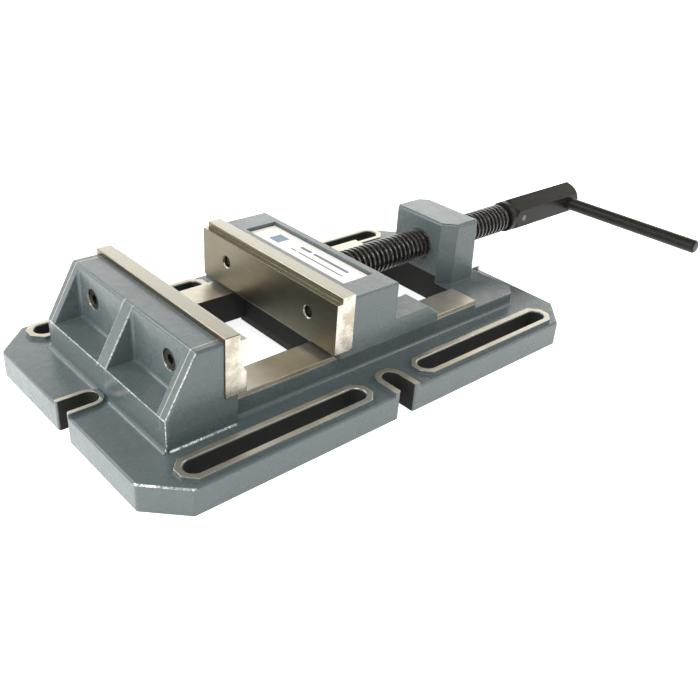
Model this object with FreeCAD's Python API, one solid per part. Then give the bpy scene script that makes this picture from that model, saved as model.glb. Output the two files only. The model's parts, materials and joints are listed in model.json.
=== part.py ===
import FreeCAD, Part
import math
import os

# Low-profile drill-press vise, 150 mm jaws.
# Millimetres. Origin at the middle of the base's underside, +Z up, +X towards the crank.

# Base flange
BASE_LENGTH = 376.0
BASE_WIDTH = 220.0
FLANGE_HEIGHT = 19.0
CORNER_CUT = 23.0
CORNER_ROUND = 3.0
FLANGE_EDGE_ROUND = 1.6

# Bolt slots and the machined pads around them
SLOT_WIDTH = 13.0
SLOT_LENGTH = 135.0
SLOT_CENTRE_X = 94.0
SLOT_CENTRE_Y = 95.0
PAD_RIM = 4.7
END_PAD_RIM = 3.0
PAD_CORNER_CUT = 7.0
PAD_CORNER_ROUND = 1.5
MOUTH_ROUND = 2.0
PAD_HEIGHT = 2.5
SLOT_EDGE_BREAK = 0.8
SIDE_SLOT_DEPTH = 23.0
END_SLOT_DEPTH = 24.5

# Ways and the casting under them
WAY_TOP = 35.5
WAY_OUTER_Y = 68.0
WAY_INNER_Y = 44.0
WAY_FRONT_X = -110.5
WAY_REAR_X = 112.5
WAY_STRIP_HEIGHT = 3.4
WAY_SIDE_STEP = 0.8
WAY_FOOT_ROUND = 3.5
PLATEAU_TOP = 29.0
PLATEAU_REAR_X = 165.0
PLATEAU_CORNER_CUT = 9.0
WELL_FRONT_X = -98.0
WELL_CORNER_ROUND = 5.0

# Hollow underside that houses the keeper plate
UNDERCUT_TOP = 12.7
UNDERCUT_HALF_WIDTH = 64.0
UNDERCUT_FRONT_X = -150.0
UNDERCUT_REAR_X = 160.0
UNDERCUT_CORNER_ROUND = 10.0
UNDER_RIB_WIDTH = 9.0

# Fixed jaw
JAW_HALF_WIDTH = 74.0
JAW_TOP = 78.2
SEAT_HEIGHT = 41.0
FIXED_FRONT_X = -160.0
FIXED_CREST_X = -138.5
FIXED_SEAT_X = -120.0
FIXED_POCKET_X = -139.5
POCKET_FLOOR = 40.7
POCKET_INNER_Y = 5.4
POCKET_OUTER_Y = 63.5
POCKET_ROUND = 2.5
FIXED_EDGE_ROUND = 2.0
POCKET_RIM_ROUND = 0.8
JAW_FOOT_ROUND = 2.2

# Jaw plates
PLATE_LENGTH = 150.0
PLATE_THICKNESS = 15.0
PLATE_TOP = 81.5
LEDGE_DEPTH = 4.4
LEDGE_DROP = 4.2
VEE_CENTRE_Z = 61.5
VEE_HALF_HEIGHT = 6.8
VEE_DEPTH = 3.8
PLATE_EDGE_BREAK = 0.4

# Plate screws, M8 socket head
PLATE_SCREW_Y = 46.0
PLATE_SCREW_Z = 60.7
SCREW_RADIUS = 4.0
SCREW_CLEARANCE_RADIUS = 4.5
SCREW_HEAD_RADIUS = 6.5
SCREW_HEAD_HEIGHT = 8.0
SCREW_SOCKET_ACROSS = 6.0
SCREW_SOCKET_DEPTH = 4.0
FIXED_SCREW_LENGTH = 20.0
MOVABLE_SCREW_LENGTH = 30.0
COUNTERBORE_RADIUS = 7.1
FIXED_COUNTERBORE_DEPTH = 11.0
MOVABLE_COUNTERBORE_DEPTH = 25.0
LOCK_WASHER_THICKNESS = 2.0
LOCK_WASHER_INNER = 4.2
LOCK_WASHER_OUTER = 6.8
LOCK_WASHER_GAP = 1.2
HOLE_BEVEL = 0.8

# Movable jaw, drawn at its rest opening
REST_OPENING = 69.5
SLIDE_GAP = 0.05
MOVABLE_FACE_X = FIXED_SEAT_X + PLATE_THICKNESS + REST_OPENING
MOVABLE_SEAT_X = MOVABLE_FACE_X + PLATE_THICKNESS
MOVABLE_TOE_X = MOVABLE_SEAT_X - 9.5
MOVABLE_REAR_X = 20.0
LEG_INNER_Y = 49.0
LEG_TOP = 49.6
LEG_SLOPE_X = 54.0
LEG_END_X = 63.0
LEG_END_TOP = 42.8
JAW_EDGE_ROUND = 1.4
JAW_TOP_ROUND = 1.2
LEG_EDGE_ROUND = 1.0
TONGUE_FRONT_X = -20.0
TONGUE_REAR_X = 38.0
TONGUE_SIDE_GAP = 0.08

# Label recess in the movable jaw's top
LABEL_FRONT_X = -12.5
LABEL_REAR_X = 14.0
LABEL_HALF_LENGTH = 54.0
LABEL_RECESS = 3.0
LABEL_MARGIN = 0.6
LABEL_THICKNESS = 0.4

# Keeper plate and its low-head M6 screws
KEEPER_FRONT_X = -16.0
KEEPER_REAR_X = 44.0
KEEPER_HALF_WIDTH = 58.0
KEEPER_BOTTOM = 4.0
KEEPER_CORNER_ROUND = 4.0
KEEPER_SCREW_RADIUS = 3.0
KEEPER_SCREW_CLEARANCE = 3.3
KEEPER_SCREW_HEAD_RADIUS = 5.0
KEEPER_SCREW_HEAD_HEIGHT = 4.0
KEEPER_SCREW_LENGTH = 20.0
KEEPER_SCREW_SOCKET = 4.0
KEEPER_SCREW_SOCKET_DEPTH = 2.3
KEEPER_COUNTERBORE_RADIUS = 6.4
KEEPER_COUNTERBORE_DEPTH = 4.0
KEEPER_WASHER_OUTER = 6.0
KEEPER_WASHER_THICKNESS = 1.0
KEEPER_SCREW_X = (-2.0, 26.0)
KEEPER_SCREW_Y = 30.0

# Lead screw, trapezoidal thread 24 mm across
SCREW_AXIS_Z = 56.0
THREAD_RADIUS = 12.0
THREAD_ROOT_RADIUS = 9.25
THREAD_PITCH = 4.6
THREAD_CREST = 1.7
THREAD_ROOT_WIDTH = 1.5
THREAD_START_X = 22.55
THREAD_END_X = 219.5
THREAD_FIT = 0.05
JOURNAL_RADIUS = 9.0
JOURNAL_START_X = -9.95
JOURNAL_FIT = 0.05
BORE_BOTTOM_X = -14.0
GROOVE_RADIUS = 6.5
GROOVE_CENTRE_X = 4.0
GROOVE_WIDTH = 5.4
SHANK_RADIUS = 8.0
SHANK_END_X = 262.0
BUTTON_RADIUS = 8.9
BUTTON_THICKNESS = 4.0
THRUST_WASHER_INNER = 9.1
THRUST_WASHER_OUTER = 15.0
THRUST_WASHER_THICKNESS = 2.5

# Retaining pins across the journal's groove
RETAINER_RADIUS = 2.5
RETAINER_Y = 9.1
RETAINER_LENGTH = 26.0
RETAINER_HOLE_DEPTH = 28.0

# Nut block, cast in one with the base
NUT_FRONT_X = 118.0
NUT_REAR_X = 151.3
NUT_HALF_WIDTH = 30.0
NUT_TOP = 79.2
NUT_DRAFT_DEGREES = 3.0
NUT_CUT_FRONT_RIGHT = 9.5
NUT_CUT_FRONT_LEFT = 3.5
NUT_CUT_REAR_LEFT = 7.0
NUT_CUT_REAR_RIGHT = 2.0
NUT_EDGE_ROUND = 2.4
SPOT_FACE_RADIUS = 15.5
NUT_DRILL_RUNOUT = 10.0

# Crank: round collar, hexagonal hub and a straight rod
HUB_FRONT_X = 221.0
HUB_END_X = 317.0
HUB_ACROSS_FLATS = 26.0
COLLAR_RADIUS = 13.0
COLLAR_END_X = 226.5
HUB_CONE_LENGTH = 3.5
HUB_END_RADIUS = 12.4
COLLAR_EDGE_BREAK = 0.8
HUB_PIN_X = 236.5
HUB_PIN_RADIUS = 2.5
ROD_X = 303.5
ROD_RADIUS = 5.5
ROD_REACH = 139.0
ROD_BACK = 12.0
CRANK_TURN_DEGREES = -1.3
ROD_CHAMFER = 1.2
GRUB_RADIUS = 4.0
GRUB_RECESS = 1.0
GRUB_SOCKET_ACROSS = 4.0
GRUB_SOCKET_DEPTH = 3.0

SIDES = (("left", 1.0), ("right", -1.0))
CUT = 1.0


def box(x0, x1, y0, y1, z0, z1):
    corner = FreeCAD.Vector(x0, y0, z0)
    return Part.makeBox(x1 - x0, y1 - y0, z1 - z0, corner)


def rod_along(axis, radius, start, length):
    return Part.makeCylinder(radius, length, FreeCAD.Vector(*start), FreeCAD.Vector(*axis))


def prism_up(points, z0, z1):
    wire = Part.makePolygon([FreeCAD.Vector(x, y, z0) for x, y in points + points[:1]])
    return Part.Face(wire).extrude(FreeCAD.Vector(0, 0, z1 - z0))


def prism_across(points, y0, y1):
    wire = Part.makePolygon([FreeCAD.Vector(x, y0, z) for x, z in points + points[:1]])
    return Part.Face(wire).extrude(FreeCAD.Vector(0, y1 - y0, 0))


def turned(profile):
    # Revolves (x, radius) points about the lead screw's axis.
    points = [FreeCAD.Vector(x, 0, SCREW_AXIS_Z + r) for x, r in profile]
    wire = Part.makePolygon(points + points[:1])
    axis_point = FreeCAD.Vector(0, 0, SCREW_AXIS_Z)
    return Part.Face(wire).revolve(axis_point, FreeCAD.Vector(1, 0, 0), 360)


def hexagon(across, centre, axis, depth):
    # Hexagonal bar of the given length along axis, starting at centre.
    radius = across / math.sqrt(3.0)
    points = []
    for i in range(7):
        angle = math.radians(60.0 * i)
        points.append(FreeCAD.Vector(radius * math.cos(angle), radius * math.sin(angle), 0))
    bar = Part.Face(Part.makePolygon(points)).extrude(FreeCAD.Vector(0, 0, depth))
    turn = FreeCAD.Rotation(FreeCAD.Vector(0, 0, 1), FreeCAD.Vector(*axis))
    bar.Placement = FreeCAD.Placement(FreeCAD.Vector(*centre), turn)
    return bar


def upright_edges(shape, low, high):
    # Straight vertical edges whose middle lies between the two heights.
    found = []
    for edge in shape.Edges:
        size = edge.BoundBox
        if size.XLength < 0.01 and size.YLength < 0.01:
            if low < 0.5 * (size.ZMin + size.ZMax) < high:
                found.append(edge)
    return found


def flat_edges(shape, height):
    # Edges lying in the horizontal plane at the given height.
    found = []
    for edge in shape.Edges:
        size = edge.BoundBox
        if abs(size.ZMin - height) < 0.01 and abs(size.ZMax - height) < 0.01:
            found.append(edge)
    return found


def obround(length, width, z0, z1):
    # Round-ended bar along X, centred on the Z axis.
    half = 0.5 * (length - width)
    bar = box(-half, half, -0.5 * width, 0.5 * width, z0, z1)
    for x in (-half, half):
        bar = bar.fuse(rod_along((0, 0, 1), 0.5 * width, (x, 0, z0), z1 - z0))
    return bar.removeSplitter()


def open_slot(depth, width, z0, z1, reach):
    # Bar along +X from -reach to a round end at x = depth.
    half = 0.5 * width
    bar = box(-reach, depth - half, -half, half, z0, z1)
    bar = bar.fuse(rod_along((0, 0, 1), half, (depth - half, 0, z0), z1 - z0))
    return bar.removeSplitter()


def mouth_corners(z0, z1):
    # What is cut away to round both upright corners of an open slot's mouth at x = 0.
    r = MOUTH_ROUND
    half = 0.5 * SLOT_WIDTH
    corners = []
    for name, sign in SIDES:
        near = min(sign * half, sign * (half + r))
        far = max(sign * half, sign * (half + r))
        square = box(-CUT, r, near, far, z0, z1)
        centre = (r, sign * (half + r), z0)
        corners.append(square.cut(rod_along((0, 0, 1), r, centre, z1 - z0)))
    return corners


def cut_corners(half_length, half_width, cut):
    # Rectangle outline with its four corners cut off at 45 degrees.
    a = half_length
    b = half_width
    return [
        (-a + cut, -b), (a - cut, -b), (a, -b + cut), (a, b - cut),
        (a - cut, b), (-a + cut, b), (-a, b - cut), (-a, -b + cut),
    ]


def placed(shape, x, y, turn=0.0):
    copy = shape.copy()
    copy.rotate(FreeCAD.Vector(0, 0, 0), FreeCAD.Vector(0, 0, 1), turn)
    copy.translate(FreeCAD.Vector(x, y, 0))
    return copy


def closed_slot_places():
    return [(sx * SLOT_CENTRE_X, sy * SLOT_CENTRE_Y) for sx in (-1, 1) for sy in (-1, 1)]


def open_slot_places():
    # Mouth position, direction of the slot in degrees, depth, rim width.
    half_length = 0.5 * BASE_LENGTH
    half_width = 0.5 * BASE_WIDTH
    return [
        (-half_length, 0.0, 0.0, END_SLOT_DEPTH, END_PAD_RIM),
        (half_length, 0.0, 180.0, END_SLOT_DEPTH, END_PAD_RIM),
        (0.0, -half_width, 90.0, SIDE_SLOT_DEPTH, PAD_RIM),
        (0.0, half_width, -90.0, SIDE_SLOT_DEPTH, PAD_RIM),
    ]


def build_flange():
    outline = cut_corners(0.5 * BASE_LENGTH, 0.5 * BASE_WIDTH, CORNER_CUT)
    plate = prism_up(outline, 0.0, FLANGE_HEIGHT)
    plate = plate.makeFillet(CORNER_ROUND, upright_edges(plate, 1.0, FLANGE_HEIGHT))
    return plate.makeFillet(FLANGE_EDGE_ROUND, flat_edges(plate, FLANGE_HEIGHT))


def build_pads():
    pad_top = FLANGE_HEIGHT + PAD_HEIGHT
    half_length = 0.5 * SLOT_LENGTH + PAD_RIM
    half_width = 0.5 * SLOT_WIDTH + PAD_RIM
    ring = prism_up(cut_corners(half_length, half_width, PAD_CORNER_CUT), FLANGE_HEIGHT - CUT, pad_top)
    ring = ring.makeFillet(PAD_CORNER_ROUND, upright_edges(ring, FLANGE_HEIGHT - CUT, pad_top))
    pads = [placed(ring, x, y) for x, y in closed_slot_places()]
    for x, y, turn, depth, rim in open_slot_places():
        wide = SLOT_WIDTH + 2 * rim
        strip = open_slot(depth + rim, wide, FLANGE_HEIGHT - 3 * CUT, pad_top, 0.0)
        pads.append(placed(strip, x, y, turn))
    return pads


def build_slot_cutters():
    top = FLANGE_HEIGHT + PAD_HEIGHT + CUT
    hole = obround(SLOT_LENGTH, SLOT_WIDTH, -CUT, top)
    cutters = [placed(hole, x, y) for x, y in closed_slot_places()]
    for x, y, turn, depth, rim in open_slot_places():
        cutters.append(placed(open_slot(depth, SLOT_WIDTH, -CUT, top, 10.0), x, y, turn))
        for corner in mouth_corners(-CUT, top):
            cutters.append(placed(corner, x, y, turn))
    return cutters


def build_fixed_jaw():
    foot = FLANGE_HEIGHT - CUT
    side = [
        (FIXED_FRONT_X, foot), (FIXED_FRONT_X, POCKET_FLOOR), (FIXED_CREST_X, JAW_TOP),
        (FIXED_SEAT_X, JAW_TOP), (FIXED_SEAT_X, SEAT_HEIGHT), (WAY_FRONT_X, SEAT_HEIGHT),
        (WAY_FRONT_X, foot),
    ]
    jaw = prism_across(side, -JAW_HALF_WIDTH, JAW_HALF_WIDTH)
    outer_edges = []
    for edge in jaw.Edges:
        size = edge.BoundBox
        clear_of_seat = size.XMin < FIXED_CREST_X - 0.01 or size.ZMin > JAW_TOP - 0.01
        if clear_of_seat and size.XMax < FIXED_SEAT_X + 0.01 and size.ZMax > foot + CUT:
            if size.YLength < 0.01 or size.XMax < FIXED_SEAT_X - 0.01:
                outer_edges.append(edge)
    jaw = jaw.makeFillet(FIXED_EDGE_ROUND, outer_edges)
    for name, sign in SIDES:
        inner = sign * POCKET_INNER_Y
        outer = sign * POCKET_OUTER_Y
        low = min(inner, outer)
        high = max(inner, outer)
        far_x = FIXED_FRONT_X - 20.0
        pocket = box(far_x, FIXED_POCKET_X, low, high, POCKET_FLOOR, JAW_TOP + 20.0)
        inner_edges = []
        for edge in pocket.Edges:
            size = edge.BoundBox
            at_back = size.XMin > FIXED_POCKET_X - 0.01
            upright = size.ZLength > 1.0
            along_floor = size.ZMax < POCKET_FLOOR + 0.01
            if (at_back and upright) or (at_back and along_floor):
                inner_edges.append(edge)
        jaw = jaw.cut(pocket.makeFillet(POCKET_ROUND, inner_edges))
    rim_edges = []
    for edge in jaw.Edges:
        size = edge.BoundBox
        side = abs(0.5 * (size.YMin + size.YMax))
        at_side = min(abs(side - POCKET_INNER_Y), abs(side - POCKET_OUTER_Y)) < 0.01
        if at_side and size.YLength < 0.01 and size.XLength > 5.0 and size.ZLength > 5.0:
            rim_edges.append(edge)
    return jaw.makeFillet(POCKET_RIM_ROUND, rim_edges)


def build_ways():
    foot = FLANGE_HEIGHT - CUT
    shoulder = WAY_TOP - WAY_STRIP_HEIGHT
    outer = WAY_OUTER_Y + WAY_SIDE_STEP
    body = box(WAY_FRONT_X - CUT, WAY_REAR_X, -outer, outer, foot, shoulder)
    strips = box(WAY_FRONT_X - CUT, WAY_REAR_X, -WAY_OUTER_Y, WAY_OUTER_Y, shoulder, WAY_TOP)
    c = PLATEAU_CORNER_CUT
    outline = [
        (WAY_REAR_X - CUT, -outer), (PLATEAU_REAR_X - c, -outer), (PLATEAU_REAR_X, -outer + c),
        (PLATEAU_REAR_X, outer - c), (PLATEAU_REAR_X - c, outer), (WAY_REAR_X - CUT, outer),
    ]
    plateau = prism_up(outline, foot, PLATEAU_TOP)
    return [body, strips, plateau]


def nut_outline(grow, z):
    # Level section of the nut block, with its rear face moved back by grow.
    a = NUT_FRONT_X
    b = NUT_REAR_X + grow
    w = NUT_HALF_WIDTH
    points = [
        (a + NUT_CUT_FRONT_RIGHT, -w), (b - NUT_CUT_REAR_RIGHT, -w), (b, -w + NUT_CUT_REAR_RIGHT),
        (b, w - NUT_CUT_REAR_LEFT), (b - NUT_CUT_REAR_LEFT, w), (a + NUT_CUT_FRONT_LEFT, w),
        (a, w - NUT_CUT_FRONT_LEFT), (a, -w + NUT_CUT_FRONT_RIGHT),
    ]
    return Part.makePolygon([FreeCAD.Vector(x, y, z) for x, y in points + points[:1]])


def build_nut_block():
    grow = (NUT_TOP - UNDERCUT_TOP) * math.tan(math.radians(NUT_DRAFT_DEGREES))
    sections = [nut_outline(grow, UNDERCUT_TOP), nut_outline(0.0, NUT_TOP)]
    block = Part.makeLoft(sections, True, True)
    return block.makeFillet(NUT_EDGE_ROUND, flat_edges(block, NUT_TOP))


def build_foot_fillets():
    # Concave cast radius along the outside of the ways and the fixed jaw's front.
    r = WAY_FOOT_ROUND
    z = FLANGE_HEIGHT
    outer = WAY_OUTER_Y + WAY_SIDE_STEP
    strips = []
    length = PLATEAU_REAR_X - PLATEAU_CORNER_CUT - WAY_FRONT_X
    for name, sign in SIDES:
        bar = box(WAY_FRONT_X, WAY_FRONT_X + length, 0.0, r, z - 0.5 * CUT, z + r)
        bar = bar.cut(rod_along((1, 0, 0), r, (WAY_FRONT_X, r, z + r), length))
        if sign < 0:
            bar = bar.mirror(FreeCAD.Vector(0, 0, 0), FreeCAD.Vector(0, 1, 0))
        bar.translate(FreeCAD.Vector(0, sign * outer, 0))
        strips.append(bar)
    foot = JAW_FOOT_ROUND
    length = WAY_FRONT_X - FIXED_FRONT_X - FIXED_EDGE_ROUND
    start = FIXED_FRONT_X + FIXED_EDGE_ROUND
    for name, sign in SIDES:
        low = min(sign * JAW_HALF_WIDTH, sign * (JAW_HALF_WIDTH + foot))
        bar = box(start, start + length, low, low + foot, z - 0.5 * CUT, z + foot)
        centre = (start, sign * (JAW_HALF_WIDTH + foot), z + foot)
        strips.append(bar.cut(rod_along((1, 0, 0), foot, centre, length)))
    bar = box(FIXED_FRONT_X - r, FIXED_FRONT_X, -JAW_HALF_WIDTH, JAW_HALF_WIDTH, z - 0.5 * CUT, z + r)
    width = 2 * JAW_HALF_WIDTH
    centre = (FIXED_FRONT_X - r, -JAW_HALF_WIDTH, z + r)
    strips.append(bar.cut(rod_along((0, 1, 0), r, centre, width)))
    return strips


def build_base():
    solid = build_flange()
    parts = build_pads() + build_ways() + [build_fixed_jaw(), build_nut_block()]
    solid = solid.multiFuse(parts + build_foot_fillets()).removeSplitter()

    well = box(WELL_FRONT_X, NUT_FRONT_X, -WAY_INNER_Y, WAY_INNER_Y, -CUT, WAY_TOP + CUT)
    front_corners = [e for e in upright_edges(well, 0.0, WAY_TOP) if e.BoundBox.XMax < 0]
    well = well.makeFillet(WELL_CORNER_ROUND, front_corners)
    w = UNDERCUT_HALF_WIDTH
    hollow = box(UNDERCUT_FRONT_X, UNDERCUT_REAR_X, -w, w, -CUT, UNDERCUT_TOP)
    hollow = hollow.makeFillet(UNDERCUT_CORNER_ROUND, upright_edges(hollow, 0.0, UNDERCUT_TOP))
    rib_half = 0.5 * UNDER_RIB_WIDTH
    rib = box(UNDERCUT_FRONT_X - CUT, WELL_FRONT_X, -rib_half, rib_half, -2 * CUT, UNDERCUT_TOP + CUT)
    hollow = hollow.cut(rib)
    bar_front = WELL_FRONT_X - UNDER_RIB_WIDTH
    front_bar = box(bar_front, WELL_FRONT_X, -w - CUT, w + CUT, -2 * CUT, UNDERCUT_TOP + CUT)
    hollow = hollow.cut(front_bar)

    cutters = build_slot_cutters() + [well, hollow]
    nut_bore = THREAD_RADIUS + THREAD_FIT
    start = (NUT_FRONT_X - CUT, 0, SCREW_AXIS_Z)
    cutters.append(rod_along((1, 0, 0), nut_bore, start, NUT_REAR_X - NUT_FRONT_X + NUT_DRILL_RUNOUT))
    start = (NUT_REAR_X, 0, SCREW_AXIS_Z)
    cutters.append(rod_along((1, 0, 0), SPOT_FACE_RADIUS, start, NUT_DRILL_RUNOUT))
    for name, sign in SIDES:
        y = sign * PLATE_SCREW_Y
        start = (FIXED_POCKET_X - CUT, y, PLATE_SCREW_Z)
        through = FIXED_SEAT_X - FIXED_POCKET_X + 2 * CUT
        cutters.append(rod_along((1, 0, 0), SCREW_CLEARANCE_RADIUS, start, through))
        cutters.append(rod_along((1, 0, 0), COUNTERBORE_RADIUS, start, FIXED_COUNTERBORE_DEPTH + CUT))
    for cutter in cutters:
        solid = solid.cut(cutter)
    solid = solid.removeSplitter()
    pad_top = FLANGE_HEIGHT + PAD_HEIGHT
    slot_edges = []
    for edge in flat_edges(solid, pad_top):
        size = edge.BoundBox
        across = abs(abs(0.5 * (size.YMin + size.YMax)) - SLOT_CENTRE_Y)
        along = abs(abs(0.5 * (size.XMin + size.XMax)) - SLOT_CENTRE_X)
        if across < 0.5 * SLOT_WIDTH + 0.01 and along < 0.5 * SLOT_LENGTH + 0.01:
            slot_edges.append(edge)
    return solid.makeChamfer(SLOT_EDGE_BREAK, slot_edges)


def plate_blank(back_x, toward):
    # Jaw plate with its mounting back at back_x; toward is the clamping direction along X.
    face_x = back_x + toward * PLATE_THICKNESS
    ledge_x = face_x - toward * LEDGE_DEPTH
    low = PLATE_TOP - LEDGE_DROP
    side = [
        (back_x, SEAT_HEIGHT), (face_x, SEAT_HEIGHT), (face_x, low),
        (ledge_x, low), (ledge_x, PLATE_TOP), (back_x, PLATE_TOP),
    ]
    half = 0.5 * PLATE_LENGTH
    plate = prism_across(side, -half, half)
    return plate.makeChamfer(PLATE_EDGE_BREAK, flat_edges(plate, PLATE_TOP))


def drill_plate(plate, back_x, toward):
    for name, sign in SIDES:
        start = (back_x - toward * CUT, sign * PLATE_SCREW_Y, PLATE_SCREW_Z)
        plate = plate.cut(rod_along((toward, 0, 0), SCREW_RADIUS, start, PLATE_THICKNESS + 2 * CUT))
    return plate


def bevel_holes(plate, face_x, toward):
    for name, sign in SIDES:
        start = FreeCAD.Vector(face_x - toward * HOLE_BEVEL, sign * PLATE_SCREW_Y, PLATE_SCREW_Z)
        wide = SCREW_RADIUS + HOLE_BEVEL
        axis = FreeCAD.Vector(toward, 0, 0)
        plate = plate.cut(Part.makeCone(SCREW_RADIUS, wide, HOLE_BEVEL, start, axis))
    return plate


def build_fixed_plate():
    plate = plate_blank(FIXED_SEAT_X, 1.0)
    face_x = FIXED_SEAT_X + PLATE_THICKNESS
    groove = [
        (face_x + CUT, VEE_CENTRE_Z + VEE_HALF_HEIGHT * (1.0 + CUT / VEE_DEPTH)),
        (face_x - VEE_DEPTH, VEE_CENTRE_Z),
        (face_x + CUT, VEE_CENTRE_Z - VEE_HALF_HEIGHT * (1.0 + CUT / VEE_DEPTH)),
    ]
    plate = plate.cut(prism_across(groove, -PLATE_LENGTH, PLATE_LENGTH))
    return drill_plate(plate, FIXED_SEAT_X, 1.0)


def build_movable_plate():
    plate = drill_plate(plate_blank(MOVABLE_SEAT_X, -1.0), MOVABLE_SEAT_X, -1.0)
    return bevel_holes(plate, MOVABLE_FACE_X, -1.0)


def build_movable_jaw():
    bottom = WAY_TOP + SLIDE_GAP
    side = [
        (MOVABLE_TOE_X, bottom), (MOVABLE_REAR_X, bottom), (MOVABLE_REAR_X, JAW_TOP),
        (MOVABLE_SEAT_X, JAW_TOP), (MOVABLE_SEAT_X, SEAT_HEIGHT), (MOVABLE_TOE_X, SEAT_HEIGHT),
    ]
    jaw = prism_across(side, -JAW_HALF_WIDTH, JAW_HALF_WIDTH)
    rear_edges = []
    for edge in jaw.Edges:
        size = edge.BoundBox
        at_rear = size.XMin > MOVABLE_REAR_X - 0.01
        if at_rear and size.ZLength > 10.0:
            rear_edges.append(edge)
    jaw = jaw.makeFillet(JAW_EDGE_ROUND, rear_edges)
    top_edges = [e for e in flat_edges(jaw, JAW_TOP) if e.BoundBox.XMax > MOVABLE_SEAT_X + 0.01]
    jaw = jaw.makeFillet(JAW_TOP_ROUND, top_edges)
    leg = [
        (MOVABLE_REAR_X - 5.0, bottom), (LEG_END_X, bottom), (LEG_END_X, LEG_END_TOP),
        (LEG_SLOPE_X, LEG_TOP), (MOVABLE_REAR_X - 5.0, LEG_TOP),
    ]
    parts = []
    for name, sign in SIDES:
        low = min(sign * LEG_INNER_Y, sign * JAW_HALF_WIDTH)
        high = max(sign * LEG_INNER_Y, sign * JAW_HALF_WIDTH)
        bar = prism_across(leg, low, high)
        long_edges = []
        for edge in bar.Edges:
            size = edge.BoundBox
            if size.YLength < 0.01 and size.ZMax > LEG_END_TOP + 0.01 and size.XMax > MOVABLE_REAR_X:
                long_edges.append(edge)
        parts.append(bar.makeFillet(LEG_EDGE_ROUND, long_edges))
    tongue_half = WAY_INNER_Y - TONGUE_SIDE_GAP
    tongue_bottom = UNDERCUT_TOP - SLIDE_GAP
    parts.append(box(
        TONGUE_FRONT_X, TONGUE_REAR_X, -tongue_half, tongue_half, tongue_bottom, bottom + CUT))
    jaw = jaw.multiFuse(parts).removeSplitter()

    cutters = [box(
        LABEL_FRONT_X, LABEL_REAR_X, -LABEL_HALF_LENGTH, LABEL_HALF_LENGTH,
        JAW_TOP - LABEL_RECESS, JAW_TOP + CUT)]
    bore = JOURNAL_RADIUS + JOURNAL_FIT
    start = (BORE_BOTTOM_X, 0, SCREW_AXIS_Z)
    cutters.append(rod_along((1, 0, 0), bore, start, MOVABLE_REAR_X - BORE_BOTTOM_X + CUT))
    for name, sign in SIDES:
        y = sign * PLATE_SCREW_Y
        start = (MOVABLE_REAR_X + CUT, y, PLATE_SCREW_Z)
        through = MOVABLE_REAR_X - MOVABLE_SEAT_X + 2 * CUT
        cutters.append(rod_along((-1, 0, 0), SCREW_CLEARANCE_RADIUS, start, through))
        cutters.append(rod_along((-1, 0, 0), COUNTERBORE_RADIUS, start, MOVABLE_COUNTERBORE_DEPTH + CUT))
        start = (GROOVE_CENTRE_X, sign * RETAINER_Y, JAW_TOP - LABEL_RECESS)
        cutters.append(rod_along((0, 0, -1), RETAINER_RADIUS, start, RETAINER_HOLE_DEPTH))
        for x in KEEPER_SCREW_X:
            start = (x, sign * KEEPER_SCREW_Y, tongue_bottom)
            depth = KEEPER_SCREW_LENGTH
            cutters.append(rod_along((0, 0, 1), KEEPER_SCREW_RADIUS, start, depth))
    for cutter in cutters:
        jaw = jaw.cut(cutter)
    return jaw.removeSplitter()


def build_cap_screw(radius, length, head_radius, head_height, socket, socket_depth):
    # Under the head at x = 0, thread along +X, head along -X.
    tip = 0.8
    profile = [
        (-head_height, 0.0), (-head_height, head_radius - 0.6),
        (-head_height + 0.6, head_radius), (0.0, head_radius), (0.0, radius),
        (length - tip, radius), (length, radius - tip), (length, 0.0),
    ]
    points = [FreeCAD.Vector(x, 0, r) for x, r in profile]
    wire = Part.makePolygon(points + points[:1])
    axis = FreeCAD.Vector(1, 0, 0)
    screw = Part.Face(wire).revolve(FreeCAD.Vector(0, 0, 0), axis, 360)
    return screw.cut(hexagon(socket, (-head_height, 0, 0), (1, 0, 0), socket_depth))


def build_plate_screw(seat_x, toward, length, sign):
    screw = build_cap_screw(
        SCREW_RADIUS, length, SCREW_HEAD_RADIUS, SCREW_HEAD_HEIGHT,
        SCREW_SOCKET_ACROSS, SCREW_SOCKET_DEPTH)
    if toward < 0:
        screw.rotate(FreeCAD.Vector(0, 0, 0), FreeCAD.Vector(0, 0, 1), 180)
    under_head = seat_x - toward * LOCK_WASHER_THICKNESS
    screw.translate(FreeCAD.Vector(under_head, sign * PLATE_SCREW_Y, PLATE_SCREW_Z))
    return screw


def build_lock_washer(seat_x, toward, sign):
    start = (seat_x, sign * PLATE_SCREW_Y, PLATE_SCREW_Z)
    ring = rod_along((-toward, 0, 0), LOCK_WASHER_OUTER, start, LOCK_WASHER_THICKNESS)
    ring = ring.cut(rod_along((-toward, 0, 0), LOCK_WASHER_INNER, start, LOCK_WASHER_THICKNESS))
    x0 = min(seat_x, seat_x - toward * LOCK_WASHER_THICKNESS)
    half = 0.5 * LOCK_WASHER_GAP
    y = sign * PLATE_SCREW_Y
    top = PLATE_SCREW_Z + LOCK_WASHER_OUTER + CUT
    split = box(x0 - CUT, x0 + LOCK_WASHER_THICKNESS + CUT, y - half, y + half, PLATE_SCREW_Z, top)
    return ring.cut(split)


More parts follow.
